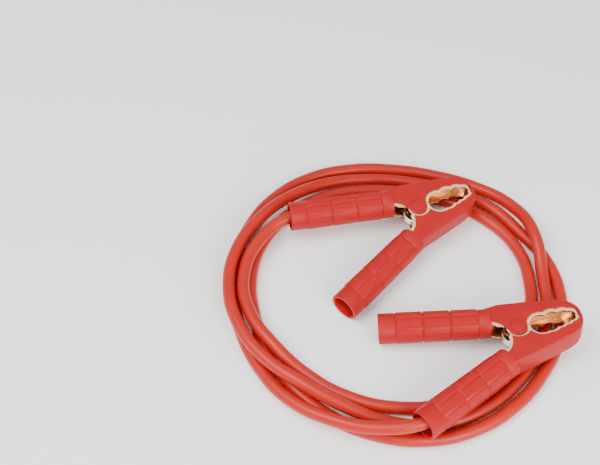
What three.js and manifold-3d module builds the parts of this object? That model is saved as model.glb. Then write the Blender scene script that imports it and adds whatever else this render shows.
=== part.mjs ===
// A booster lead for starting a car: one heavy red cable, coiled loosely on the floor,
// with a spring clamp on each end. Millimetres, +Z up, the floor at z = 0.
import * as THREE from 'three';
import { mergeVertices } from 'three/addons/utils/BufferGeometryUtils.js';
import Module from 'manifold-3d';

const wasm = await Module();
wasm.setup();

// Driving dimensions of one clamp, in its own plane: the pivot is the origin, the nose points
// along +X, and Z is the thickness.
const COVER_THICKNESS = 19;
const COVER_BEVEL = 2.5;
const COVER_SIDE_WALL = 1.8;
const COVER_BACK_WALL = 2.4;
const FIT_GAP = 0.3;
const SHEET = 1.2;
const METAL_REVEAL = 2.4;
const LOBE_RADIUS = 7.4;
const BOSS_RADIUS = 5.4;
const BOSS_HEIGHT = 0.9;
const PIN_RADIUS = 2.6;
const EAR_RADIUS = 8.4;

// Handles: an open tube, flared at its mouth, with grooves between its grip panels.
const HANDLE_LENGTH = 85;
const HANDLE_ROOT_RADIUS = 11.2;
const HANDLE_MOUTH_RADIUS = 11.8;
const HANDLE_BORE_RADIUS = 9.5;
const COLLAR_LENGTH = 9;
const MOUTH_BAND = 13;
const GRIP_PANELS = 3;
const GROOVE_WIDTH = 1.6;
const GROOVE_DEPTH = 0.7;
const TAIL_WIDTH = 10;
const CABLE_GRIP = 26;
const UPPER_HANDLE = { root: [-16.7, 14.2], angle: 169, outer: -1 };
const LOWER_HANDLE = { root: [-13.9, -23.6], angle: 206.9, outer: 1 };

// The mouth between the jaws is cut by rows of round scallops: centre x, centre y, radius.
const UPPER_SCALLOPS = [[18, -1, 8.6], [27.6, 2.4, 6.2], [36, 2.4, 5.4], [41.5, 1.6, 4.2]];
const LOWER_SCALLOPS = [[18, -1, 8.6], [24, -2.5, 6.6], [31, -2.4, 4.6], [36.5, -1.2, 4.2], [41.5, 0.2, 3.6]];
const NOSE_X = 49.6;
const NOSE_Y = 1.6;
const BITE_LENGTH = 3.6;
const BITE_HEIGHT = 3;

// The round gap behind the pivot, where the torsion spring shows.
const SPRING_GAP = { x: -24.4, y: -6.5, radius: 17.8 };
const SPRING = { x: -2.5, y: -1.5, radius: 9.1, wire: 0.95, turns: 3, pitch: 1.95 };

const CABLE_RADIUS = 5;
const CABLE_SIDES = 10;
const CABLE_STEPS = 80;

// Each clamp lies on its side: pivot place, then yaw, pitch and roll in degrees.
const CLAMP_A = { place: [-5.66, 87.45, 19.99], yaw: 20.6, pitch: -0.83, roll: 6.45 };
const CLAMP_B = { place: [61.74, -31.8, 21.4], yaw: 11.2, pitch: -3.69, roll: -6.02 };

const HALF = COVER_THICKNESS / 2;
const CAVITY_HALF = HALF - COVER_SIDE_WALL;
const JAW_HALF = CAVITY_HALF - FIT_GAP;
const JAW_INNER_HALF = JAW_HALF - SHEET;
const EAR_HALF = JAW_INNER_HALF - FIT_GAP;
const EAR_INNER_HALF = EAR_HALF - SHEET;
// The cable from clamp A's handle to clamp B's, passing over and under itself as it lies.
const CABLE_ROUTE = [
  [-84.4, 84.9, 22.0], [-97.3, 82.7, 22.1], [-113.5, 79.2, 20.6], [-134.1, 60.4, 17.2], [-145.8, 27.1, 15.5],
  [-140.3, -8.6, 16.5], [-121.3, -37.9, 15.5], [-95.5, -60.8, 8.8], [-65.4, -77.3, 5.3], [-30.6, -85.8, 5.1],
  [5.0, -82.5, 5.1], [36.4, -65.8, 5.1], [60.9, -39.3, 5.1], [76.4, -7.2, 5.1], [81.1, 27.8, 5.1],
  [74.8, 61.5, 5.2], [54.3, 89.6, 5.3], [25.1, 109.3, 5.1], [-9.1, 119.9, 5.1], [-45.3, 122.1, 5.1],
  [-80.5, 114.8, 5.1], [-110.8, 96.0, 5.1], [-131.8, 67.2, 5.1], [-140.5, 32.8, 5.1], [-137.4, -2.9, 5.1],
  [-126.2, -37.6, 5.1], [-106.7, -68.3, 5.1], [-79.4, -93.0, 5.2], [-46.3, -108.0, 5.2], [-10.2, -112.0, 5.2],
  [25.3, -103.7, 5.1], [56.2, -84.3, 5.1], [80.4, -57.0, 5.1], [97.3, -24.5, 5.1], [103.7, 11.6, 5.1],
  [97.6, 47.6, 5.1], [79.0, 78.6, 5.1], [56.1, 105.2, 5.3], [25.7, 122.4, 5.2], [-9.0, 131.9, 5.1],
  [-45.1, 134.8, 5.3], [-79.4, 127.7, 8.1], [-109.6, 109.6, 13.0], [-134.9, 83.5, 15.8], [-152.1, 52.1, 16.7],
  [-157.4, 16.3, 16.5], [-148.9, -18.9, 16.6], [-128.7, -49.1, 16.7], [-100.2, -71.3, 16.3], [-68.9, -87.4, 10.9],
  [-36.0, -98.3, 5.7], [-1.4, -99.4, 5.1], [31.4, -87.8, 5.1], [58.9, -65.5, 5.1], [79.1, -36.2, 5.2],
  [90.8, -3.2, 5.2], [91.6, 30.6, 8.4], [87.7, 67.9, 17.6], [75.0, 101.9, 10.1], [48.1, 125.8, 5.3],
  [13.4, 139.2, 5.1], [-22.5, 145.9, 5.1], [-58.4, 146.0, 5.1], [-92.8, 136.4, 5.1], [-121.8, 115.7, 5.1],
  [-142.2, 86.2, 5.1], [-153.2, 51.8, 5.1], [-154.5, 16.0, 5.3], [-147.1, -19.1, 5.1], [-132.1, -51.9, 5.5],
  [-110.6, -80.2, 9.7], [-81.0, -99.8, 15.0], [-45.1, -109.2, 18.0], [-10.9, -106.3, 22.3], [6.3, -94.2, 22.6],
];

const FAR = 200;
const DISC_SIDES = 24;
const holdsCable = { upper: true, lower: false };

const redPlastic = () => new THREE.MeshStandardMaterial({ color: 0xc8403c, roughness: 0.5, metalness: 0 });
const redSheath = () => new THREE.MeshStandardMaterial({ color: 0xcd4334, roughness: 0.45, metalness: 0 });
const copperPlate = () => new THREE.MeshStandardMaterial({ color: 0xd09055, roughness: 0.3, metalness: 1 });
const zincSteel = () => new THREE.MeshStandardMaterial({ color: 0xb8b6b4, roughness: 0.3, metalness: 1 });

function solidOf(geometry) {
  geometry.deleteAttribute('normal');
  geometry.deleteAttribute('uv');
  const merged = mergeVertices(geometry, 1e-4);
  return new wasm.Manifold(new wasm.Mesh({
    numProp: 3,
    vertProperties: new Float32Array(merged.attributes.position.array),
    triVerts: new Uint32Array(merged.index.array),
  }));
}

function meshOf(name, solid, material) {
  const out = solid.getMesh();
  const geometry = new THREE.BufferGeometry();
  geometry.setAttribute('position', new THREE.BufferAttribute(new Float32Array(out.vertProperties), 3));
  geometry.setIndex(new THREE.BufferAttribute(new Uint32Array(out.triVerts), 1));
  geometry.computeVertexNormals();
  const mesh = new THREE.Mesh(geometry, material);
  mesh.name = name;
  return mesh;
}

// A flat plate of the outline, from low to high.
function slab(points, low, high) {
  const shape = new THREE.Shape(points.map(([x, y]) => new THREE.Vector2(x, y)));
  const geometry = new THREE.ExtrudeGeometry(shape, { depth: high - low, bevelEnabled: false, curveSegments: 1 });
  return solidOf(geometry.translate(0, 0, low));
}

// The same plate with its rim rounded, widest at mid thickness.
function roundedSlab(points, half, bevel) {
  const shape = new THREE.Shape(points.map(([x, y]) => new THREE.Vector2(x, y)));
  const geometry = new THREE.ExtrudeGeometry(shape, {
    depth: 2 * (half - bevel),
    bevelEnabled: true,
    bevelThickness: bevel,
    bevelSize: bevel,
    bevelOffset: -bevel,
    bevelSegments: 2,
    curveSegments: 1,
  });
  return solidOf(geometry.translate(0, 0, bevel - half));
}

function disc(x, y, radius, low, high) {
  const geometry = new THREE.CylinderGeometry(radius, radius, high - low, DISC_SIDES);
  return solidOf(geometry.rotateX(Math.PI / 2).translate(x, y, (low + high) / 2));
}

// The outline moved inwards by a distance, corner by corner, for an outline that runs clockwise or not.
function inset(points, distance) {
  const sign = THREE.ShapeUtils.isClockWise(points.map(([x, y]) => new THREE.Vector2(x, y))) ? -1 : 1;
  return points.map((point, i) => {
    const before = points[(i + points.length - 1) % points.length];
    const after = points[(i + 1) % points.length];
    const a = new THREE.Vector2(point[0] - before[0], point[1] - before[1]).normalize();
    const b = new THREE.Vector2(after[0] - point[0], after[1] - point[1]).normalize();
    const normal = new THREE.Vector2(-(a.y + b.y), a.x + b.x).normalize();
    const reach = distance / Math.max(0.4, normal.x * -a.y + normal.y * a.x);
    return [point[0] + sign * normal.x * reach, point[1] + sign * normal.y * reach];
  });
}

// A place on a handle: along is from the handle's root to its mouth, out is away from the other handle.
function onHandle(handle, along, out) {
  const angle = THREE.MathUtils.degToRad(handle.angle);
  const side = angle + handle.outer * Math.PI / 2;
  return [
    handle.root[0] + along * Math.cos(angle) + out * Math.cos(side),
    handle.root[1] + along * Math.sin(angle) + out * Math.sin(side),
  ];
}

// The mouth line runs from the pivot to the nose. Each arm stays half a gap on its own side of it.
const mouthLine = (x) => NOSE_Y * x / NOSE_X;

const coverOutlines = {
  upper: [
    onHandle(UPPER_HANDLE, 3, -10), onHandle(UPPER_HANDLE, 3, 10), onHandle(UPPER_HANDLE, -2, 10.6),
    [-8, 25], [10, 23.6], [26, 21.6], [39, 18.4], [45.5, 14.6], [49.6, 9.4], [50.4, 5], [NOSE_X, NOSE_Y - 3], [0, -3],
  ],
  lower: [
    onHandle(LOWER_HANDLE, 3, -10), [-17, -8], [0, 3], [NOSE_X, NOSE_Y + 3], [50.4, -2], [48, -8.5],
    [42.5, -15], [36, -19.3], [19, -25.6], [0, -31.6], onHandle(LOWER_HANDLE, -2, 10.6), onHandle(LOWER_HANDLE, 3, 10),
  ],
};

// Everything on the other side of the mouth line from an arm, as a plate to cut with.
function otherSide(arm, half, gap) {
  const sign = arm === 'upper' ? -1 : 1;
  const shift = -sign * gap / 2;
  return slab([
    [-FAR, shift], [0, shift], [FAR, mouthLine(FAR) + shift], [FAR, sign * FAR], [-FAR, sign * FAR],
  ], -half, half);
}

// The tube of a handle, turned about its axis and laid along it.
function handleTube(handle) {
  const gripLength = HANDLE_LENGTH - COLLAR_LENGTH - MOUTH_BAND;
  const outerAt = (along) => HANDLE_ROOT_RADIUS
    + (HANDLE_MOUTH_RADIUS - HANDLE_ROOT_RADIUS) * Math.max(0, along) / HANDLE_LENGTH;
  const profile = [new THREE.Vector2(HANDLE_BORE_RADIUS, 0), new THREE.Vector2(outerAt(0), 0)];
  for (let i = 0; i <= GRIP_PANELS; i += 1) {
    const middle = COLLAR_LENGTH + gripLength * i / GRIP_PANELS;
    profile.push(new THREE.Vector2(outerAt(middle), middle - GROOVE_WIDTH / 2));
    profile.push(new THREE.Vector2(outerAt(middle) - GROOVE_DEPTH, middle));
    profile.push(new THREE.Vector2(outerAt(middle), middle + GROOVE_WIDTH / 2));
  }
  profile.push(new THREE.Vector2(HANDLE_MOUTH_RADIUS, HANDLE_LENGTH));
  profile.push(new THREE.Vector2(HANDLE_BORE_RADIUS, HANDLE_LENGTH));
  profile.push(profile[0].clone());
  const geometry = new THREE.LatheGeometry(profile, DISC_SIDES);
  geometry.rotateZ(THREE.MathUtils.degToRad(handle.angle - 90));
  return solidOf(geometry.translate(handle.root[0], handle.root[1], 0));
}

function handleBore(handle) {
  const geometry = new THREE.CylinderGeometry(HANDLE_BORE_RADIUS, HANDLE_BORE_RADIUS, HANDLE_LENGTH, DISC_SIDES);
  geometry.translate(0, HANDLE_LENGTH / 2, 0);
  geometry.rotateZ(THREE.MathUtils.degToRad(handle.angle - 90));
  return solidOf(geometry.translate(handle.root[0], handle.root[1], 0));
}

const scallopsOf = { upper: UPPER_SCALLOPS, lower: LOWER_SCALLOPS };
const handleOf = { upper: UPPER_HANDLE, lower: LOWER_HANDLE };

// One moulded arm: jaw cover and handle in one piece, hollow for the steel inside it.
function cover(arm) {
  const outline = coverOutlines[arm];
  const past = HALF + 2;
  let body = roundedSlab(outline, HALF, COVER_BEVEL);
  body = body.subtract(otherSide(arm, past, FIT_GAP));
  if (arm === 'upper') {
    body = body.add(disc(0, 0, LOBE_RADIUS, -HALF, HALF));
    body = body.add(disc(0, 0, BOSS_RADIUS, -HALF - BOSS_HEIGHT, HALF + BOSS_HEIGHT));
  } else {
    body = body.subtract(disc(0, 0, LOBE_RADIUS + METAL_REVEAL, -past, past));
  }
  for (const [x, y, radius] of scallopsOf[arm]) {
    body = body.subtract(disc(x, y, radius + METAL_REVEAL, -past, past));
  }
  body = body.subtract(disc(SPRING_GAP.x, SPRING_GAP.y, SPRING_GAP.radius, -past, past));
  body = body.add(handleTube(handleOf[arm]));
  let cavity = slab(inset(outline, COVER_BACK_WALL), -CAVITY_HALF, CAVITY_HALF);
  cavity = cavity.add(slab(mouthSide(arm), -CAVITY_HALF, CAVITY_HALF));
  cavity = cavity.add(disc(0, 0, LOBE_RADIUS + METAL_REVEAL, -CAVITY_HALF, CAVITY_HALF));
  body = body.subtract(cavity).subtract(handleBore(handleOf[arm]));
  return largest(body);
}

// The strip beside the mouth line, open towards the other arm, so a hollow reaches past its edge.
function mouthSide(arm) {
  const sign = arm === 'upper' ? 1 : -1;
  return [
    [-15, -sign * 6], [NOSE_X - COVER_BACK_WALL, -sign * 4], [NOSE_X - COVER_BACK_WALL, sign * 5], [-15, sign * 9],
  ];
}

// The steel of one arm inside its cover: two side plates joined along the back, and a tang in the handle.
function jaw(arm) {
  const cut = JAW_HALF + 1;
  const handle = handleOf[arm];
  const tangEnd = HANDLE_LENGTH - (holdsCable[arm] ? CABLE_GRIP - 4 : CABLE_GRIP + 14);
  const tang = [
    onHandle(handle, -4, -TAIL_WIDTH / 2), onHandle(handle, tangEnd, -TAIL_WIDTH / 2),
    onHandle(handle, tangEnd, TAIL_WIDTH / 2), onHandle(handle, -4, TAIL_WIDTH / 2),
  ];
  const outer = inset(coverOutlines[arm], COVER_BACK_WALL + FIT_GAP);
  const inner = inset(coverOutlines[arm], COVER_BACK_WALL + FIT_GAP + SHEET);
  const insideTang = [
    onHandle(handle, -6, -TAIL_WIDTH), onHandle(handle, HANDLE_LENGTH, -TAIL_WIDTH),
    onHandle(handle, HANDLE_LENGTH, TAIL_WIDTH / 2 - SHEET), onHandle(handle, -6, TAIL_WIDTH / 2 - SHEET),
  ];
  let body = slab(outer, -JAW_HALF, JAW_HALF);
  body = body.subtract(slab(inner, -JAW_INNER_HALF, JAW_INNER_HALF));
  body = body.subtract(slab(mouthSide(arm), -JAW_INNER_HALF, JAW_INNER_HALF));
  body = body.subtract(otherSide(arm, cut, FIT_GAP));
  body = body.add(slab(tang, -JAW_HALF, JAW_HALF));
  body = body.subtract(slab(insideTang, -JAW_INNER_HALF, JAW_INNER_HALF));
  if (holdsCable[arm]) {
    const cableEnd = HANDLE_LENGTH - CABLE_GRIP - 1.5;
    body = body.subtract(slab([
      onHandle(handle, cableEnd, -TAIL_WIDTH), onHandle(handle, HANDLE_LENGTH, -TAIL_WIDTH),
      onHandle(handle, HANDLE_LENGTH, TAIL_WIDTH), onHandle(handle, cableEnd, TAIL_WIDTH),
    ], -JAW_INNER_HALF, JAW_INNER_HALF));
  }
  body = body.subtract(disc(SPRING_GAP.x, SPRING_GAP.y, SPRING_GAP.radius - METAL_REVEAL, -cut, cut));
  for (const [x, y, radius] of scallopsOf[arm]) {
    body = body.subtract(disc(x, y, radius, -cut, cut));
  }
  if (arm === 'upper') {
    body = body.subtract(disc(0, 0, EAR_RADIUS + FIT_GAP + 0.2, -cut, cut));
    for (const side of [-1, 1]) {
      const [low, high] = side > 0 ? [EAR_INNER_HALF, EAR_HALF] : [-EAR_HALF, -EAR_INNER_HALF];
      const [joinLow, joinHigh] = side > 0 ? [EAR_INNER_HALF, JAW_HALF] : [-JAW_HALF, -EAR_INNER_HALF];
      const reach = EAR_RADIUS + 3.1;
      body = body.add(disc(0, 0, EAR_RADIUS - 1.4, low, high).add(slab(sector(0, reach, 62, 138), low, high)));
      body = body.add(slab(sector(EAR_RADIUS + 0.9, reach, 62, 138), joinLow, joinHigh));
    }
  } else {
    for (const side of [-1, 1]) {
      const [low, high] = side > 0 ? [JAW_INNER_HALF, JAW_HALF] : [-JAW_HALF, -JAW_INNER_HALF];
      body = body.add(disc(0, 0, EAR_RADIUS, low, high));
    }
  }
  body = body.subtract(disc(0, 0, PIN_RADIUS + FIT_GAP, -cut, cut));
  return largest(body);
}

function sector(inner, outer, from, to) {
  const points = [];
  for (let i = 0; i <= 6; i += 1) {
    const angle = THREE.MathUtils.degToRad(from + (to - from) * i / 6);
    points.push([outer * Math.cos(angle), outer * Math.sin(angle)]);
  }
  for (let i = 6; i >= 0; i -= 1) {
    const angle = THREE.MathUtils.degToRad(from + (to - from) * i / 6);
    points.push([inner * Math.cos(angle), inner * Math.sin(angle)]);
  }
  return inner > 0 ? points : points.slice(0, 8);
}

// Booleans can leave a sliver behind: the part is the largest of the closed pieces.
function largest(solid) {
  return solid.decompose().sort((a, b) => b.volume() - a.volume())[0];
}

// The torsion spring: a coil round the pin, with one leg along the inside of each handle's root.
function spring() {
  const points = [];
  const legs = [
    onHandle(UPPER_HANDLE, 4, TAIL_WIDTH / 2 - SHEET - SPRING.wire - 0.4),
    onHandle(LOWER_HANDLE, 4, TAIL_WIDTH / 2 - SHEET - SPRING.wire - 0.4),
  ];
  const starts = [[SPRING.x + 1, SPRING.y + SPRING.radius], [SPRING.x + 1, SPRING.y - SPRING.radius]];
  const height = SPRING.pitch * (SPRING.turns + 0.5) / 2;
  const steps = Math.round((SPRING.turns + 0.5) * 12);
  points.push(new THREE.Vector3(legs[0][0], legs[0][1], height));
  points.push(new THREE.Vector3((legs[0][0] + starts[0][0]) / 2, (legs[0][1] + starts[0][1]) / 2, height));
  for (let i = 0; i <= steps; i += 1) {
    const angle = Math.PI / 2 - i * Math.PI / 6;
    const rise = height - 2 * height * i / steps;
    points.push(new THREE.Vector3(
      SPRING.x + SPRING.radius * Math.cos(angle),
      SPRING.y + SPRING.radius * Math.sin(angle),
      rise,
    ));
  }
  points.push(new THREE.Vector3((legs[1][0] + starts[1][0]) / 2, (legs[1][1] + starts[1][1]) / 2, -height));
  points.push(new THREE.Vector3(legs[1][0], legs[1][1], -height));
  return solidOf(tube(points, SPRING.wire, 6, points.length * 2));
}

function tube(points, radius, sides, steps) {
  const section = new THREE.Shape();
  for (let i = 0; i < sides; i += 1) {
    const angle = 2 * Math.PI * i / sides;
    const method = i === 0 ? 'moveTo' : 'lineTo';
    section[method](radius * Math.cos(angle), radius * Math.sin(angle));
  }
  section.closePath();
  const path = new THREE.CatmullRomCurve3(points, false, 'catmullrom', 0.5);
  return new THREE.ExtrudeGeometry(section, { steps, bevelEnabled: false, extrudePath: path });
}

function pin() {
  const length = 2 * JAW_HALF;
  const geometry = new THREE.CylinderGeometry(PIN_RADIUS, PIN_RADIUS, length, 20);
  return solidOf(geometry.rotateX(Math.PI / 2));
}

function clamp(name, placing, cableArm) {
  holdsCable.upper = cableArm === 'upper';
  holdsCable.lower = cableArm === 'lower';
  const group = new THREE.Group();
  group.name = name;
  group.add(meshOf(`${name}_upper_cover`, cover('upper'), redPlastic()));
  group.add(meshOf(`${name}_lower_cover`, cover('lower'), redPlastic()));
  group.add(meshOf(`${name}_upper_jaw`, jaw('upper'), copperPlate()));
  group.add(meshOf(`${name}_lower_jaw`, jaw('lower'), copperPlate()));
  group.add(meshOf(`${name}_spring`, spring(), zincSteel()));
  group.add(meshOf(`${name}_pivot_pin`, pin(), zincSteel()));
  group.rotation.order = 'ZYX';
  group.rotation.set(...[placing.roll, placing.pitch, placing.yaw].map(THREE.MathUtils.degToRad));
  group.position.set(...placing.place);
  return group;
}

const lead = new THREE.Group();
lead.name = 'lead';
const route = CABLE_ROUTE.map(([x, y, z]) => new THREE.Vector3(x, y, z));
lead.add(meshOf('cable', solidOf(tube(route, CABLE_RADIUS, CABLE_SIDES, CABLE_STEPS)), redSheath()));
lead.add(clamp('clamp_a', CLAMP_A, 'upper'));
lead.add(clamp('clamp_b', CLAMP_B, 'lower'));

export default lead;
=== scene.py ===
"""A red booster lead with a clamp on each end, lying in a loose coil on a pale floor."""
import math

import bpy
from mathutils import Euler, Matrix, Vector


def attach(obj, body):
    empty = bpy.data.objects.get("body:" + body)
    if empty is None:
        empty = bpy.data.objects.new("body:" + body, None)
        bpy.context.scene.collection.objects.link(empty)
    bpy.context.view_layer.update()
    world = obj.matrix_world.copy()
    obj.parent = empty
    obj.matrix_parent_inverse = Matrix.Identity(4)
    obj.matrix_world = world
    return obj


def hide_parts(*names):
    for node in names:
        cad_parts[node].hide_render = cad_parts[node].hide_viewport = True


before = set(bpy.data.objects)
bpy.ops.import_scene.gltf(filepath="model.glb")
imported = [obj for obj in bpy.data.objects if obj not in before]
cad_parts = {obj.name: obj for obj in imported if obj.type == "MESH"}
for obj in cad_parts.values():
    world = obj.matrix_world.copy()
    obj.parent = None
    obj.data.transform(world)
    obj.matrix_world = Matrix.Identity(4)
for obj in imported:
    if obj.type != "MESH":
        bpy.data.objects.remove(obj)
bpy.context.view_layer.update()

# Lengths of the scene and the cable are in metres, and those of a clamp are in millimetres.
MM = 0.001
QUARTER_TURN = math.pi / 2
PHOTO_ELEVATION = math.radians(52)
CAMERA_PLACE = (-0.1016, -0.4843, 0.7241)
CAMERA_LENS = 66.4
CAMERA_SENSOR = 36

CABLE_RADIUS = 0.005
CABLE_STEPS = 10

# The middle of the cable from clamp A to clamp B, in millimetres.
CABLE_ROUTE = [
    (-84.4, 84.9, 22.0), (-97.3, 82.7, 22.1), (-113.5, 79.2, 20.6), (-134.1, 60.4, 17.2),
    (-145.8, 27.1, 15.5), (-140.3, -8.6, 16.5), (-121.3, -37.9, 15.5), (-95.5, -60.8, 8.8),
    (-65.4, -77.3, 5.3), (-30.6, -85.8, 5.1), (5.0, -82.5, 5.1), (36.4, -65.8, 5.1),
    (60.9, -39.3, 5.1), (76.4, -7.2, 5.1), (81.1, 27.8, 5.1), (74.8, 61.5, 5.2),
    (54.3, 89.6, 5.3), (25.1, 109.3, 5.1), (-9.1, 119.9, 5.1), (-45.3, 122.1, 5.1),
    (-80.5, 114.8, 5.1), (-110.8, 96.0, 5.1), (-131.8, 67.2, 5.1), (-140.5, 32.8, 5.1),
    (-137.4, -2.9, 5.1), (-126.2, -37.6, 5.1), (-106.7, -68.3, 5.1), (-79.4, -93.0, 5.2),
    (-46.3, -108.0, 5.2), (-10.2, -112.0, 5.2), (25.3, -103.7, 5.1), (56.2, -84.3, 5.1),
    (80.4, -57.0, 5.1), (97.3, -24.5, 5.1), (103.7, 11.6, 5.1), (97.6, 47.6, 5.1),
    (79.0, 78.6, 5.1), (56.1, 105.2, 5.3), (25.7, 122.4, 5.2), (-9.0, 131.9, 5.1),
    (-45.1, 134.8, 5.3), (-79.4, 127.7, 8.1), (-109.6, 109.6, 13.0), (-134.9, 83.5, 15.8),
    (-152.1, 52.1, 16.7), (-157.4, 16.3, 16.5), (-148.9, -18.9, 16.6), (-128.7, -49.1, 16.7),
    (-100.2, -71.3, 16.3), (-68.9, -87.4, 10.9), (-36.0, -98.3, 5.7), (-1.4, -99.4, 5.1),
    (31.4, -87.8, 5.1), (58.9, -65.5, 5.1), (79.1, -36.2, 5.2), (90.8, -3.2, 5.2),
    (91.6, 30.6, 8.4), (87.7, 67.9, 17.6), (75.0, 101.9, 10.1), (48.1, 125.8, 5.3),
    (13.4, 139.2, 5.1), (-22.5, 145.9, 5.1), (-58.4, 146.0, 5.1), (-92.8, 136.4, 5.1),
    (-121.8, 115.7, 5.1), (-142.2, 86.2, 5.1), (-153.2, 51.8, 5.1), (-154.5, 16.0, 5.3),
    (-147.1, -19.1, 5.1), (-132.1, -51.9, 5.5), (-110.6, -80.2, 9.7), (-81.0, -99.8, 15.0),
    (-45.1, -109.2, 18.0), (-10.9, -106.3, 22.3), (6.3, -94.2, 22.6),
]

# A clamp is built lying in its own plane: the pivot is the origin and the nose points along +X.
ARMS = ("upper", "lower")
CLAMPS = {
    "clamp_a": {"place": (-5.66, 87.45, 19.99), "turn": (6.45, -0.83, 20.6), "cable_arm": "upper"},
    "clamp_b": {"place": (61.74, -31.8, 21.4), "turn": (-6.02, -3.69, 11.2), "cable_arm": "lower"},
}
BODIES = {
    ("clamp_a", "upper"): "lead",
    ("clamp_a", "lower"): "clamp_a_arm",
    ("clamp_b", "upper"): "clamp_b_arm",
    ("clamp_b", "lower"): "lead",
}

# Half heights, each from the middle plane of a clamp.
COVER_HALF = 9.5
CAVITY_HALF = 7.7
JAW_HALF = 7.4
JAW_HOLLOW_HALF = 6.2
EAR_HALF = 5.9
EAR_HOLLOW_HALF = 4.7

# Thicknesses, gaps and roundings.
COVER_WALL = 2.4
JAW_SHEET = 1.2
METAL_REVEAL = 2.4
FIT_GAP = 0.3
OUTLINE_CORNER = 1.4
COVER_EDGE = 2.5
BOSS_EDGE = 0.5
MOULDING_EDGE = 0.22
JAW_EDGE = 0.18
PIN_EDGE = 0.3

# Round parts at the pivot, and the notch between the handles where the spring shows.
LOBE_RADIUS = 7.4
BOSS_RADIUS = 5.4
BOSS_HEIGHT = 0.9
LOWER_EYE_RADIUS = 8.4
UPPER_EYE_CLEARANCE = 8.9
EAR_RADIUS = 7.0
EAR_REACH = 11.5
EAR_RIM = 9.3
EAR_FIRST_ANGLE = 62
EAR_SWEEP = 76
EAR_STEPS = 12
PIN_HOLE_RADIUS = 2.9
PIN_RADIUS = 2.6
SPRING_GAP = (-24.4, -6.5, 17.8)

# The handles: "outer" is the turn from a handle's axis to the side away from the other handle.
HANDLE_LENGTH = 85
HANDLE_BORE = 9.5
HANDLE_ROOT_RADIUS = 11.2
HANDLE_MOUTH_RADIUS = 11.8
HANDLES = {
    "upper": {"root": (-16.7, 14.2), "angle": 169, "outer": -1},
    "lower": {"root": (-13.9, -23.6), "angle": 206.9, "outer": 1},
}

# The steel tang inside a handle, its far end short of the handle's, and the seat of the cable.
TANG_HALF = 5
TANG_SHORT = {"with_cable": 22, "plain": 40}
CABLE_SEAT_START = 57.5

# The jaws' mouth: circles (x, y, radius) bitten out of each arm, and the tip.
SCALLOPS = {
    "upper": [(18, -1, 8.6), (27.6, 2.4, 6.2), (36, 2.4, 5.4), (41.5, 1.6, 4.2)],
    "lower": [
        (18, -1, 8.6), (24, -2.5, 6.6), (31, -2.4, 4.6), (36.5, -1.2, 4.2), (41.5, 0.2, 3.6),
    ],
}
NOSE = (49.6, 1.6)


def only(piece):
    """Selects one piece and nothing else."""
    bpy.ops.object.select_all(action="DESELECT")
    piece.select_set(True)
    bpy.context.view_layer.objects.active = piece
    return piece


def place_kept(piece):
    """Moves a piece's place, turn and scale into its mesh."""
    only(piece)
    bpy.ops.object.transform_apply(location=True, rotation=True, scale=True)
    return piece


def on_handle(arm, along, out):
    """A place on a handle: along it from its root, and out away from the other handle."""
    handle = HANDLES[arm]
    angle = math.radians(handle["angle"])
    side = angle + handle["outer"] * QUARTER_TURN
    return (
        handle["root"][0] + along * math.cos(angle) + out * math.cos(side),
        handle["root"][1] + along * math.sin(angle) + out * math.sin(side),
    )


# The outline of each arm's cover ahead of its handle.
OUTLINES = {
    "upper": [
        on_handle("upper", 3, -10), on_handle("upper", 5, 7.6), (-9, 24), (16, 20.9),
        (38.5, 16.7), (45, 12.9), (48.6, 8.2), (49.8, 3.5), (NOSE[0], NOSE[1] - 3), (0, -3),
    ],
    "lower": [
        on_handle("lower", 3, -10), (-17, -8), (0, 3), (NOSE[0], NOSE[1] + 3), (49.8, -2.5),
        (47.8, -8.6), (43.5, -13.4), (36, -17), (25, -20.4), (9, -25.4), (-7.5, -30),
        on_handle("lower", 5, 7.6),
    ],
}


def moved_in(points, distance):
    """The outline moved inwards by a distance, corner by corner."""
    least_turn = 0.4
    area = sum(a[0] * b[1] - b[0] * a[1] for a, b in zip(points, points[1:] + points[:1]))
    sign = 1 if area > 0 else -1
    result = []
    for i, point in enumerate(points):
        before = Vector(point) - Vector(points[i - 1])
        after = Vector(points[(i + 1) % len(points)]) - Vector(point)
        before.normalize()
        after.normalize()
        normal = Vector((-(before.y + after.y), before.x + after.x)).normalized()
        reach = sign * distance / max(least_turn, normal.y * before.x - normal.x * before.y)
        result.append((point[0] + normal.x * reach, point[1] + normal.y * reach))
    return result


def plate(name, points, low, high, corner=0.0):
    """A flat plate of the outline, with its upright corners rounded."""
    bpy.ops.object.select_all(action="DESELECT")
    bpy.ops.mesh.primitive_circle_add(vertices=len(points), radius=10, fill_type="NGON")
    piece = bpy.context.object
    piece.name = name
    for vertex, point in zip(piece.data.vertices, points):
        vertex.co = (point[0], point[1], low)
    bpy.ops.object.mode_set(mode="EDIT")
    bpy.ops.mesh.select_mode(type="VERT")
    bpy.ops.mesh.select_all(action="SELECT")
    if corner:
        bpy.ops.mesh.bevel(offset=corner, segments=5, affect="VERTICES")
        bpy.ops.mesh.select_all(action="SELECT")
    bpy.ops.mesh.extrude_region_move(TRANSFORM_OT_translate={"value": (0, 0, high - low)})
    bpy.ops.mesh.select_all(action="SELECT")
    bpy.ops.mesh.normals_make_consistent(inside=False)
    bpy.ops.object.mode_set(mode="OBJECT")
    return piece


def drum(x, y, radius, low, high, vertices=72):
    """An upright cylinder."""
    bpy.ops.object.select_all(action="DESELECT")
    bpy.ops.mesh.primitive_cylinder_add(
        vertices=vertices, radius=radius, depth=high - low, location=(x, y, (low + high) / 2)
    )
    piece = bpy.context.object
    bpy.ops.object.transform_apply(location=True, rotation=True, scale=True)
    return piece


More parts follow.
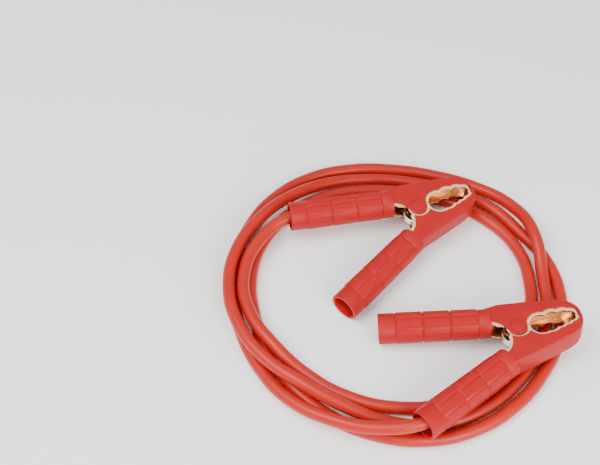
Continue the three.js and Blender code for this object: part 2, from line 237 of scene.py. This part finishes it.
def combine(piece, other, operation="DIFFERENCE"):
    """Cuts other out of a piece, or joins it on, and clears other away."""
    only(piece)
    modifier = piece.modifiers.new("combine", "BOOLEAN")
    modifier.operation = operation
    modifier.solver = "MANIFOLD"
    modifier.object = other
    bpy.ops.object.modifier_apply(modifier=modifier.name)
    bpy.data.objects.remove(other, do_unlink=True)
    return piece


def rounded(piece, width, segments, angle):
    """Rounds the edges that are sharper than an angle in degrees."""
    only(piece)
    modifier = piece.modifiers.new("edge", "BEVEL")
    modifier.width = width
    modifier.segments = segments
    modifier.limit_method = "ANGLE"
    modifier.angle_limit = math.radians(angle)
    bpy.ops.object.modifier_apply(modifier=modifier.name)
    return piece


def other_side(arm, half):
    """All that lies across the mouth line from an arm, to cut away."""
    far = 200
    sign = -1 if arm == "upper" else 1
    shift = -sign * FIT_GAP / 2
    slope = NOSE[1] / NOSE[0]
    corners = [
        (-far, shift), (0, shift), (far, far * slope + shift),
        (far, sign * far), (-far, sign * far),
    ]
    return plate("other_side", corners, -half, half)


def mouth_side(arm, half):
    """The strip beside the mouth line, so a hollow stays open there."""
    back = -15
    end = NOSE[0] - COVER_WALL
    sign = 1 if arm == "upper" else -1
    corners = [(back, -sign * 6), (end, -sign * 4), (end, sign * 5), (back, sign * 9)]
    return plate("mouth_side", corners, -half, half)


def laid_along(piece, arm):
    """Lays an upright piece along a handle, from the handle's root."""
    handle = HANDLES[arm]
    piece.matrix_world = (
        Matrix.Translation((*handle["root"], 0))
        @ Matrix.Rotation(math.radians(handle["angle"]), 4, "Z")
        @ Matrix.Rotation(QUARTER_TURN, 4, "Y")
    )
    return place_kept(piece)


def handle_tube(arm):
    """The handle as an open tube: rings pushed out along its axis, then raised pads."""
    collar, band, grips, groove, depth = 9, 13, 3, 1.6, 0.5
    flare, lip_outside, lip_inside = 0.6, 11.3, 9.9
    pad_pitch, pad_start, pad_end, pad_edge, pad_height = 45, 5.625, 39.4, 0.25, 0.4
    outside_from, middle_band = 10.5, 2
    grip = (HANDLE_LENGTH - collar - band) / grips
    stations = [(0, HANDLE_ROOT_RADIUS)]
    for i in range(grips + 1):
        middle = collar + grip * i
        radius = HANDLE_ROOT_RADIUS + flare * middle / HANDLE_LENGTH
        stations += [
            (middle - groove / 2, radius), (middle, radius - depth), (middle + groove / 2, radius),
        ]
    stations += [
        (HANDLE_LENGTH - 0.6, HANDLE_MOUTH_RADIUS), (HANDLE_LENGTH, lip_outside),
        (HANDLE_LENGTH, lip_inside), (HANDLE_LENGTH - 0.5, HANDLE_BORE), (0, HANDLE_BORE),
    ]
    bpy.ops.object.select_all(action="DESELECT")
    bpy.ops.mesh.primitive_circle_add(vertices=64, radius=stations[0][1], fill_type="NOTHING")
    tube = bpy.context.object
    bpy.ops.object.mode_set(mode="EDIT")
    bpy.ops.mesh.select_mode(type="VERT")
    bpy.ops.mesh.select_all(action="SELECT")
    for before, after in zip(stations, stations[1:]):
        step = (0, 0, after[0] - before[0])
        bpy.ops.mesh.extrude_region_move(TRANSFORM_OT_translate={"value": step})
        ratio = after[1] / before[1]
        bpy.ops.transform.resize(value=(ratio, ratio, 1), center_override=(0, 0, after[0]))
    bpy.ops.mesh.select_mode(type="EDGE")
    bpy.ops.mesh.select_all(action="DESELECT")
    bpy.ops.mesh.select_non_manifold()
    bpy.ops.mesh.bridge_edge_loops()
    bpy.ops.mesh.select_all(action="SELECT")
    bpy.ops.mesh.normals_make_consistent(inside=False)
    bpy.ops.mesh.select_mode(type="FACE")
    bpy.ops.mesh.select_all(action="DESELECT")
    bpy.ops.object.mode_set(mode="OBJECT")
    for face in tube.data.polygons:
        centre = face.center
        in_grip = any(
            abs(centre.z - collar - grip * (i + 0.5)) < middle_band for i in range(grips)
        )
        turn = math.degrees(math.atan2(centre.y, centre.x)) % pad_pitch
        on_pad = centre.xy.length > outside_from and pad_start < turn < pad_end
        face.select = in_grip and on_pad
    bpy.ops.object.mode_set(mode="EDIT")
    bpy.ops.mesh.inset(thickness=pad_edge, depth=pad_height, use_even_offset=True)
    bpy.ops.object.mode_set(mode="OBJECT")
    return laid_along(tube, arm)


def cover(arm):
    """The moulded arm: jaw cover and handle in one, hollow for the steel inside."""
    past = COVER_HALF + 2
    body = plate(arm + "_cover", OUTLINES[arm], -COVER_HALF, COVER_HALF, OUTLINE_CORNER)
    # The short edges at the corners hold this rounding to 1.5 mm (upper) and 1.4 mm (lower).
    piece = rounded(body, COVER_EDGE, segments=4, angle=60)
    combine(piece, other_side(arm, past))
    if arm == "upper":
        lobe = drum(0, 0, LOBE_RADIUS, -COVER_HALF, COVER_HALF)
        combine(piece, rounded(lobe, BOSS_EDGE, segments=2, angle=60), "UNION")
        boss = drum(0, 0, BOSS_RADIUS, -COVER_HALF - BOSS_HEIGHT, COVER_HALF + BOSS_HEIGHT)
        combine(piece, rounded(boss, BOSS_EDGE, segments=3, angle=60), "UNION")
    else:
        combine(piece, drum(0, 0, LOBE_RADIUS + METAL_REVEAL, -past, past))
    for x, y, radius in SCALLOPS[arm]:
        combine(piece, drum(x, y, radius + METAL_REVEAL, -past, past))
    combine(piece, drum(*SPRING_GAP, -past, past))
    combine(piece, handle_tube(arm), "UNION")
    hollow = plate("hollow", moved_in(OUTLINES[arm], COVER_WALL), -CAVITY_HALF, CAVITY_HALF)
    combine(hollow, mouth_side(arm, CAVITY_HALF), "UNION")
    pivot_room = drum(0, 0, LOBE_RADIUS + METAL_REVEAL, -CAVITY_HALF, CAVITY_HALF)
    combine(hollow, pivot_room, "UNION")
    combine(piece, hollow)
    combine(piece, laid_along(drum(0, 0, HANDLE_BORE, -2, HANDLE_LENGTH, 64), arm))
    # The shortest edges that the cuts leave hold this rounding at almost nothing: it softens the
    # shading along the edges, and the edges themselves stay sharp.
    return rounded(piece, MOULDING_EDGE, segments=2, angle=55)


def tang_plate(name, arm, first, last, inner, outer, half):
    """A plate along a handle, between two places along it and two distances out."""
    corners = ((first, inner), (last, inner), (last, outer), (first, outer))
    return plate(name, [on_handle(arm, *corner) for corner in corners], -half, half)


def ear_layer(disc, rim, low, high):
    """One layer of an ear: a disc round the pin, and the fan or the rim above it."""
    arc = [math.radians(EAR_FIRST_ANGLE + EAR_SWEEP * i / EAR_STEPS) for i in range(EAR_STEPS + 1)]
    points = [(EAR_REACH * math.cos(a), EAR_REACH * math.sin(a)) for a in arc]
    if rim:
        points += [(rim * math.cos(a), rim * math.sin(a)) for a in reversed(arc)]
    else:
        points += [(0, 0)]
    pieces = [drum(0, 0, disc, low, high)] if disc else []
    return [*pieces, plate("ear", points, low, high)]


def jaw(arm, end):
    """The plated steel of an arm: two side plates joined along the back, and a tang."""
    cut = JAW_HALF + 1
    past_tang = 10
    tang_back = TANG_HALF - JAW_SHEET
    outer = moved_in(OUTLINES[arm], COVER_WALL + FIT_GAP)
    inner = moved_in(OUTLINES[arm], COVER_WALL + FIT_GAP + JAW_SHEET)
    piece = plate(arm + "_jaw", outer, -JAW_HALF, JAW_HALF)
    combine(piece, plate("hollow", inner, -JAW_HOLLOW_HALF, JAW_HOLLOW_HALF))
    combine(piece, mouth_side(arm, JAW_HOLLOW_HALF))
    combine(piece, other_side(arm, cut))
    tang_end = HANDLE_LENGTH - TANG_SHORT[end]
    tang = tang_plate("tang", arm, -4, tang_end, -TANG_HALF, TANG_HALF, JAW_HALF)
    combine(piece, tang, "UNION")
    inside = (arm, -6, HANDLE_LENGTH, -past_tang, tang_back, JAW_HOLLOW_HALF)
    combine(piece, tang_plate("tang_inside", *inside))
    if end == "with_cable":
        seat = (arm, CABLE_SEAT_START, HANDLE_LENGTH, -past_tang, past_tang, JAW_HOLLOW_HALF)
        combine(piece, tang_plate("cable_seat", *seat))
    combine(piece, drum(*SPRING_GAP[:2], SPRING_GAP[2] - METAL_REVEAL, -cut, cut))
    for x, y, radius in SCALLOPS[arm]:
        combine(piece, drum(x, y, radius, -cut, cut))
    if arm == "upper":
        combine(piece, drum(0, 0, UPPER_EYE_CLEARANCE, -cut, cut))
        for side in (-1, 1):
            for disc, rim, far in ((EAR_RADIUS, 0, EAR_HALF), (0, EAR_RIM, JAW_HALF)):
                low, high = sorted((side * EAR_HOLLOW_HALF, side * far))
                for layer in ear_layer(disc, rim, low, high):
                    combine(piece, layer, "UNION")
    else:
        for side in (-1, 1):
            low, high = sorted((side * JAW_HOLLOW_HALF, side * JAW_HALF))
            combine(piece, drum(0, 0, LOWER_EYE_RADIUS, low, high), "UNION")
    combine(piece, drum(0, 0, PIN_HOLE_RADIUS, -cut, cut))
    # The outer faces of the side plates get a paler gold copy of the copper: a painted highlight
    # for the light that these faces catch.
    piece.data.materials.clear()
    piece.data.materials.append(copper)
    piece.data.materials.append(painted_highlight_gold)
    for face in piece.data.polygons:
        is_level = abs(face.normal.z) > 0.9
        is_outermost = abs(face.center.z) > JAW_HALF - 0.05
        face.material_index = int(is_level and is_outermost)
    # As on a cover, this rounding softens the shading only.
    return rounded(piece, JAW_EDGE, segments=1, angle=50)


def wire(name, points, radius, steps):
    """A round wire or cable through the points, smooth along its length."""
    curve = bpy.data.curves.new(name, "CURVE")
    curve.dimensions = "3D"
    curve.bevel_depth = radius
    curve.bevel_resolution = 6
    curve.resolution_u = steps
    curve.use_fill_caps = True
    spline = curve.splines.new("BEZIER")
    spline.bezier_points.add(len(points) - 1)
    for bezier, point in zip(spline.bezier_points, points):
        bezier.co = point
        bezier.handle_left_type = "AUTO"
        bezier.handle_right_type = "AUTO"
    piece = bpy.data.objects.new(name, curve)
    bpy.context.collection.objects.link(piece)
    return piece


def spring(moving, leg_only):
    """The torsion spring round the pin, split where its moving leg leaves the coil."""
    x, y, radius, wire_radius, turns, pitch = -2.5, -1.5, 9.1, 0.95, 3, 1.95
    steps_a_turn, leg_along, leg_clearance = 12, 4, 0.4
    height = pitch * (turns + 0.5) / 2
    steps = round((turns + 0.5) * steps_a_turn)
    leg_out = TANG_HALF - JAW_SHEET - wire_radius - leg_clearance
    legs = [on_handle(arm, leg_along, leg_out) for arm in ARMS]
    starts = [(x + 1, y + radius), (x + 1, y - radius)]
    middles = [
        ((leg[0] + start[0]) / 2, (leg[1] + start[1]) / 2) for leg, start in zip(legs, starts)
    ]
    points = [(*legs[0], height), (*middles[0], height)]
    for i in range(steps + 1):
        angle = QUARTER_TURN - i * math.tau / steps_a_turn
        level = height - 2 * height * i / steps
        points.append((x + radius * math.cos(angle), y + radius * math.sin(angle), level))
    points += [(*middles[1], -height), (*legs[1], -height)]
    if moving == "upper":
        points.reverse()
    # The leg keeps the last three places on the coil, so that it stays hooked into it.
    piece = wire("spring", points[-5:] if leg_only else points[:-2], wire_radius, 4)
    only(piece)
    bpy.ops.object.convert(target="MESH")
    return bpy.context.object


def pin():
    """The rivet that the arms turn on."""
    shank = drum(0, 0, PIN_RADIUS, -JAW_HALF, JAW_HALF, 40)
    return rounded(shank, PIN_EDGE, segments=2, angle=60)


def copied(piece):
    """A copy with its own mesh."""
    copy = piece.copy()
    copy.data = piece.data.copy()
    bpy.context.collection.objects.link(copy)
    return copy


def laid(piece, name, clamp):
    """Places a piece of the clamp where that clamp lies, with its place in its mesh."""
    turn = Euler([math.radians(v) for v in clamp["turn"]], "XYZ")
    move = Matrix.Translation(Vector(clamp["place"]) * MM)
    piece.name = name
    piece.matrix_world = move @ turn.to_matrix().to_4x4() @ Matrix.Scale(MM, 4)
    return place_kept(piece)


def finished(piece, material, slot, body, *nodes, smooth=35):
    """Gives a piece its finish, if one is named, and says what it rides on and stands for."""
    if material:
        piece.data.materials.clear()
        piece.data.materials.append(material)
    if piece.type == "MESH":
        only(piece)
        bpy.ops.object.shade_smooth_by_angle(angle=math.radians(smooth))
    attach(piece, body)
    if nodes:
        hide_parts(*nodes)
    return piece


def shader(name):
    """A new node material and its Principled shader."""
    material = bpy.data.materials.new(name)
    material.use_nodes = True
    return material, material.node_tree.nodes["Principled BSDF"]


def mottle_group():
    """Uneven tone and a fine grain over a surface, from the piece's own coordinates."""
    group = bpy.data.node_groups.new("surface_mottle", "ShaderNodeTree")
    for label, value in (("Scale", 90.0), ("Grain", 1500.0)):
        socket = group.interface.new_socket(
            name=label, in_out="INPUT", socket_type="NodeSocketFloat"
        )
        socket.default_value = value
    for label in ("Tone", "Fine"):
        group.interface.new_socket(name=label, in_out="OUTPUT", socket_type="NodeSocketFloat")
    nodes = group.nodes
    start = nodes.new("NodeGroupInput")
    end = nodes.new("NodeGroupOutput")
    place = nodes.new("ShaderNodeTexCoord")
    for label, out, detail in (("Scale", "Tone", 3.0), ("Grain", "Fine", 2.0)):
        noise = nodes.new("ShaderNodeTexNoise")
        noise.inputs["Detail"].default_value = detail
        group.links.new(place.outputs["Object"], noise.inputs["Vector"])
        group.links.new(start.outputs[label], noise.inputs["Scale"])
        group.links.new(noise.outputs["Fac"], end.inputs[out])
    return group


mottle = mottle_group()


def surface(name, dark, light, rough, metallic, bump, scale, shine):
    """A finish whose tone and gloss vary softly, with a fine grain."""
    material, principled = shader(name)
    nodes = material.node_tree.nodes
    links = material.node_tree.links
    group = nodes.new("ShaderNodeGroup")
    group.node_tree = mottle
    group.inputs["Scale"].default_value = scale
    mix = nodes.new("ShaderNodeMix")
    mix.data_type = "RGBA"
    mix.inputs["A"].default_value = (*dark, 1)
    mix.inputs["B"].default_value = (*light, 1)
    links.new(group.outputs["Tone"], mix.inputs["Factor"])
    links.new(mix.outputs["Result"], principled.inputs["Base Color"])
    gloss = nodes.new("ShaderNodeMapRange")
    gloss.inputs["To Min"].default_value = rough[0]
    gloss.inputs["To Max"].default_value = rough[1]
    links.new(group.outputs["Tone"], gloss.inputs["Value"])
    links.new(gloss.outputs["Result"], principled.inputs["Roughness"])
    dents = nodes.new("ShaderNodeBump")
    dents.inputs["Strength"].default_value = bump
    dents.inputs["Distance"].default_value = 0.0002
    links.new(group.outputs["Fine"], dents.inputs["Height"])
    links.new(dents.outputs["Normal"], principled.inputs["Normal"])
    principled.inputs["Metallic"].default_value = metallic
    principled.inputs["Specular IOR Level"].default_value = shine
    return material


red_plastic = surface(
    "red_moulded_plastic", (0.35, 0.003, 0.004), (0.41, 0.006, 0.007), rough=(0.42, 0.56),
    metallic=0.0, bump=0.12, scale=90.0, shine=0.25,
)
red_sheath = surface(
    "red_cable_sheath", (0.39, 0.007, 0.002), (0.47, 0.012, 0.004), rough=(0.32, 0.45),
    metallic=0.0, bump=0.06, scale=90.0, shine=0.35,
)
copper = surface(
    "copper_plating", (0.78, 0.36, 0.15), (0.95, 0.60, 0.34), rough=(0.16, 0.30),
    metallic=1.0, bump=0.05, scale=160.0, shine=0.5,
)
# A paler gold copy of the copper plating: a painted highlight, put on the outer faces of the jaws'
# side plates.
painted_highlight_gold = surface(
    "copper_painted_highlight", (1.0, 0.80, 0.42), (1.0, 0.88, 0.56), rough=(0.35, 0.5),
    metallic=0.6, bump=0.03, scale=160.0, shine=0.5,
)
zinc = surface(
    "bright_zinc", (0.62, 0.61, 0.60), (0.80, 0.79, 0.78), rough=(0.20, 0.36),
    metallic=1.0, bump=0.05, scale=200.0, shine=0.5,
)

# The camera stands where the photograph was taken from.
bpy.ops.object.camera_add(
    location=CAMERA_PLACE, rotation=(QUARTER_TURN - PHOTO_ELEVATION, 0, 0)
)
camera = bpy.context.object
camera.data.lens = CAMERA_LENS
camera.data.sensor_width = CAMERA_SENSOR
bpy.context.scene.camera = camera

route = [(x * MM, y * MM, z * MM) for x, y, z in CABLE_ROUTE]
cable = wire("booster_cable", route, CABLE_RADIUS, CABLE_STEPS)
finished(cable, red_sheath, "cable_sheath", "lead", "cable")

# Each piece of a clamp is made once in the clamp's own plane, and each clamp gets its copy.
covers = {arm: cover(arm) for arm in ARMS}
jaws = {(arm, end): jaw(arm, end) for arm in ARMS for end in ("with_cable", "plain")}
rivet = pin()

for name, clamp in CLAMPS.items():
    for arm in ARMS:
        body = BODIES[name, arm]
        node = f"{name}_{arm}_cover"
        moulding = laid(copied(covers[arm]), node + "_moulding", clamp)
        finished(moulding, red_plastic, "red_plastic", body, node)
        node = f"{name}_{arm}_jaw"
        end = "with_cable" if clamp["cable_arm"] == arm else "plain"
        plates = laid(copied(jaws[arm, end]), node + "_plates", clamp)
        finished(plates, None, "copper_plate", body, node)
    node = name + "_spring"
    moving = "lower" if clamp["cable_arm"] == "upper" else "upper"
    coil = laid(spring(moving, False), node + "_wire", clamp)
    finished(coil, zinc, "zinc_steel", "lead", node, smooth=60)
    leg = laid(spring(moving, True), node + "_moving_leg", clamp)
    finished(leg, zinc, "zinc_steel", BODIES[name, moving], smooth=60)
    node = name + "_pivot_pin"
    finished(laid(copied(rivet), node + "_rivet", clamp), zinc, "zinc_steel", "lead", node)

for piece in [*covers.values(), *jaws.values(), rivet]:
    bpy.data.objects.remove(piece, do_unlink=True)

# A pale floor, with soft light from above and from the front.
bpy.ops.mesh.primitive_plane_add(size=6, location=(0, 0, 0))
floor = bpy.context.object
floor.name = "floor"
pale, pale_shader = shader("pale_floor")
pale_shader.inputs["Base Color"].default_value = (0.97, 0.97, 0.97, 1)
pale_shader.inputs["Roughness"].default_value = 0.9
pale_shader.inputs["Specular IOR Level"].default_value = 0.1
floor.data.materials.append(pale)

world = bpy.context.scene.world or bpy.data.worlds.new("studio")
bpy.context.scene.world = world
world.use_nodes = True
world.node_tree.nodes["Background"].inputs["Color"].default_value = (1, 1, 1, 1)
world.node_tree.nodes["Background"].inputs["Strength"].default_value = 0.85
for place, turn, size, power in (
    ((-0.7, -0.3, 1.3), (-10, -30, 0), 1.0, 26),
    ((0.5, -1.0, 0.7), (58, 0, 26.6), 0.8, 20),
):
    rotation = [math.radians(v) for v in turn]
    bpy.ops.object.light_add(type="AREA", location=place, rotation=rotation)
    lamp = bpy.context.object
    lamp.data.size = size
    lamp.data.energy = power
